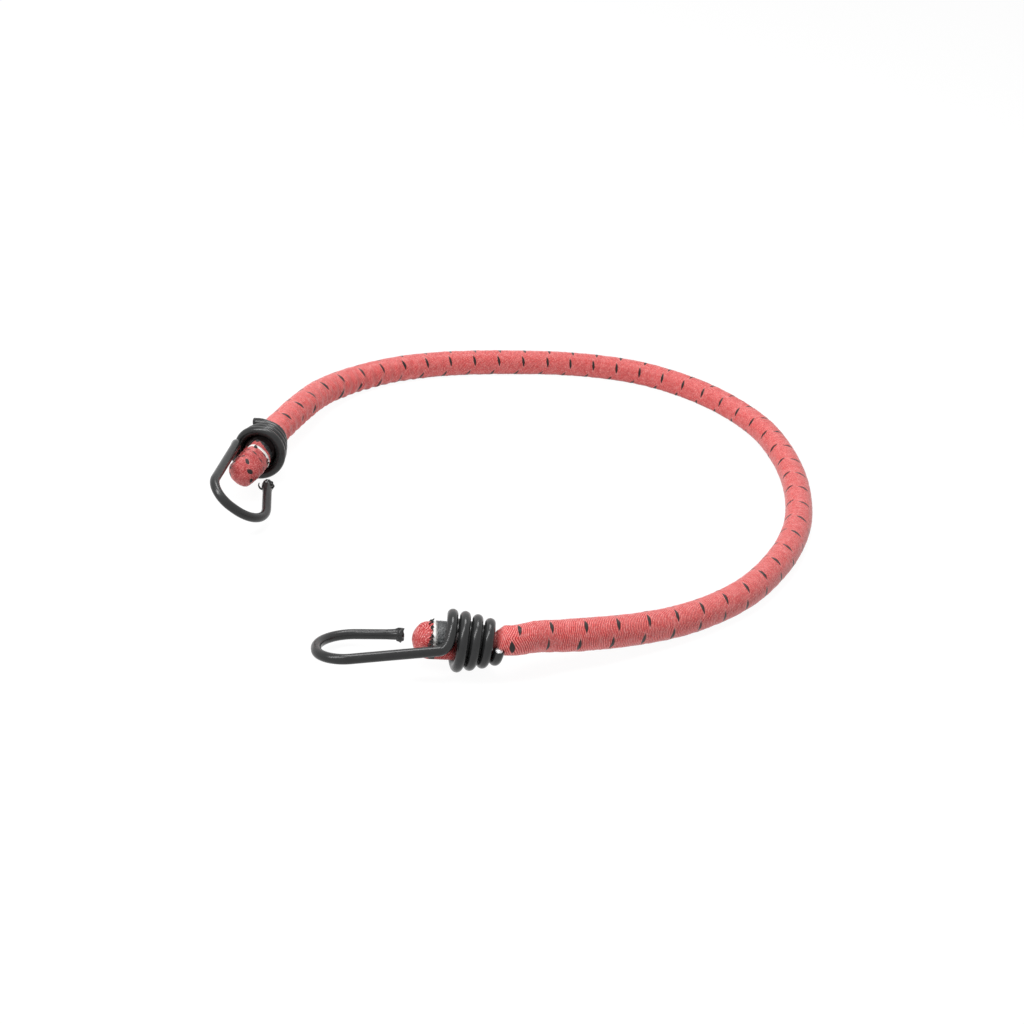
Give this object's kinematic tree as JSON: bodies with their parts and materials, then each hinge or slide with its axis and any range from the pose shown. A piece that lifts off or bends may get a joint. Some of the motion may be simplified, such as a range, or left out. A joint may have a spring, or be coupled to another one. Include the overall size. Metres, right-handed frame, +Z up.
{
  "type": "bungee cord",
  "caption": "Elastic cord in a braided fabric sheath, lying in an open loop, with a coated wire hook wound in a tapered coil on each folded end.",
  "frame": {"origin": "middle of the part's box, on the surface that the cord lies on", "axes": "+Z up from that surface, +Y from the end nearer the viewer towards the loop's far side, +X to the closed side of the loop"},
  "size_m": [0.2068, 0.2639, 0.0181],
  "materials": {
    "sheath": "braided yarn, faded coral red with black tracer stitches",
    "rubber": "cream latex strand",
    "wire": "drawn steel wire, bare on its cut end",
    "coating": "satin black vinyl dip",
    "ferrule": "dark ribbed end sleeve"
  },
  "bodies": {
    "cord": {"cord_sheath": "sheath", "rubber_strand_1": "rubber", "rubber_strand_2": "rubber", "rubber_strand_3": "rubber", "rubber_strand_4": "rubber", "rubber_strand_5": "rubber", "rubber_strand_6": "rubber", "rubber_strand_7": "rubber", "near_fold_sheath": "sheath", "near_fold_core": "rubber", "near_end_ferrule": "ferrule"},
    "near_hook": {"near_hook_wire": "wire", "near_hook_coating": "coating"},
    "far_end": {"far_fold_sheath": "sheath", "far_fold_core": "rubber", "far_end_ferrule": "ferrule"},
    "far_hook": {"far_hook_wire": "wire", "far_hook_coating": "coating"}
  },
  "joints": [
    {"name": "near_swivel", "type": "hinge", "parent": "cord", "child": "near_hook", "pos_m": [-0.01605, -0.11045, 0.00897], "axis": [-0.9793, -0.1815, -0.0898], "range_deg": [-180, 180]},
    {"name": "stretch", "type": "slide", "parent": "cord", "child": "far_end", "axis": [-0.0262, -0.9997, 0], "range_m": [0, 0.25], "stiffness_N_per_m": 520, "deforming": ["cord_sheath", "rubber_strand_1", "rubber_strand_2", "rubber_strand_3", "rubber_strand_4", "rubber_strand_5", "rubber_strand_6", "rubber_strand_7"]},
    {"name": "far_swivel", "type": "hinge", "parent": "far_end", "child": "far_hook", "pos_m": [-0.0943, -0.0292, 0.00925], "axis": [-0.0261, -0.9981, 0.0558], "range_deg": [-180, 180]}
  ]
}
